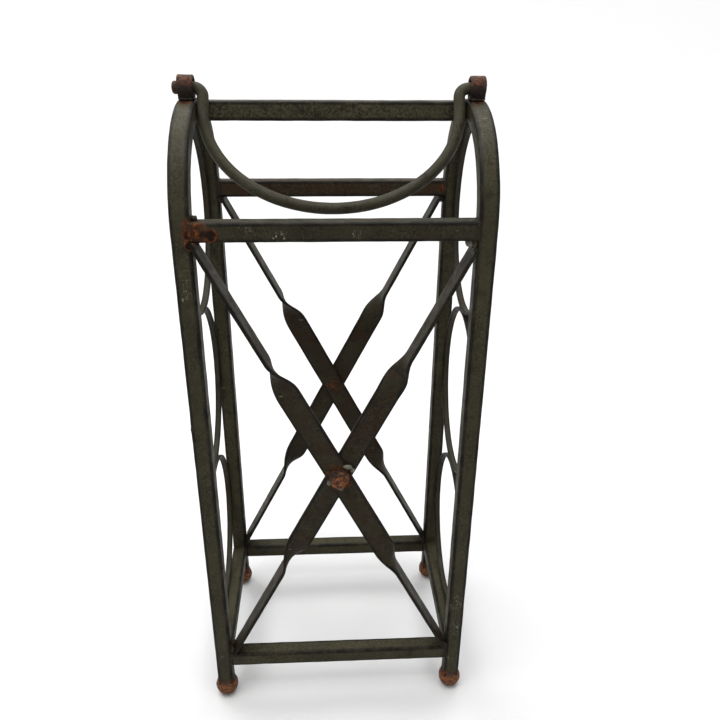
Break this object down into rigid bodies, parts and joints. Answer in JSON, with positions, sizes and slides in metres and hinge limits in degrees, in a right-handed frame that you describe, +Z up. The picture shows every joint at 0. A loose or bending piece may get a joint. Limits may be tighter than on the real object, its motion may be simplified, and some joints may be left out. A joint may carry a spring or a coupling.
{
  "type": "umbrella stand",
  "caption": "Wrought-iron umbrella stand: open frame with arched sides holding oval rings, twisted cross braces front and back, ball feet and a swinging carrying handle.",
  "frame": {"origin": "on the floor under the middle of the stand", "axes": "+Z up, +Y from the front to the back (the short way through the stand), +X to the right as seen from the front"},
  "size_m": [0.2616, 0.1964, 0.6088],
  "materials": {
    "painted_iron": "dark grey-green worn patina",
    "brace_iron": "dark brown-black worn patina",
    "handle_iron": "dark grey iron, rubbed by hand",
    "rusted_iron": "rusted brown-orange iron"
  },
  "bodies": {
    "frame": {"left_arch_frame": "painted_iron", "left_bottom_rail": "painted_iron", "right_arch_frame": "painted_iron", "right_bottom_rail": "painted_iron", "left_handle_eye": "rusted_iron", "right_handle_eye": "rusted_iron", "left_lower_ring": "painted_iron", "left_middle_ring": "painted_iron", "left_upper_ring": "painted_iron", "right_lower_ring": "painted_iron", "right_middle_ring": "painted_iron", "right_upper_ring": "painted_iron", "front_top_rail": "painted_iron", "front_bottom_rail": "painted_iron", "front_left_foot": "rusted_iron", "front_right_foot": "rusted_iron", "front_outer_brace": "brace_iron", "front_inner_brace": "brace_iron", "front_boss": "rusted_iron", "back_top_rail": "painted_iron", "back_bottom_rail": "painted_iron", "back_left_foot": "rusted_iron", "back_right_foot": "rusted_iron", "back_outer_brace": "brace_iron", "back_inner_brace": "brace_iron", "back_boss": "rusted_iron", "crown_rail": "painted_iron"},
    "handle": {"handle": "handle_iron"}
  },
  "joints": [
    {"name": "handle_swing", "type": "hinge", "parent": "frame", "child": "handle", "pos_m": [0, -0.008, 0.5986], "axis": [-1, 0, 0], "range_deg": [0, 262]}
  ]
}
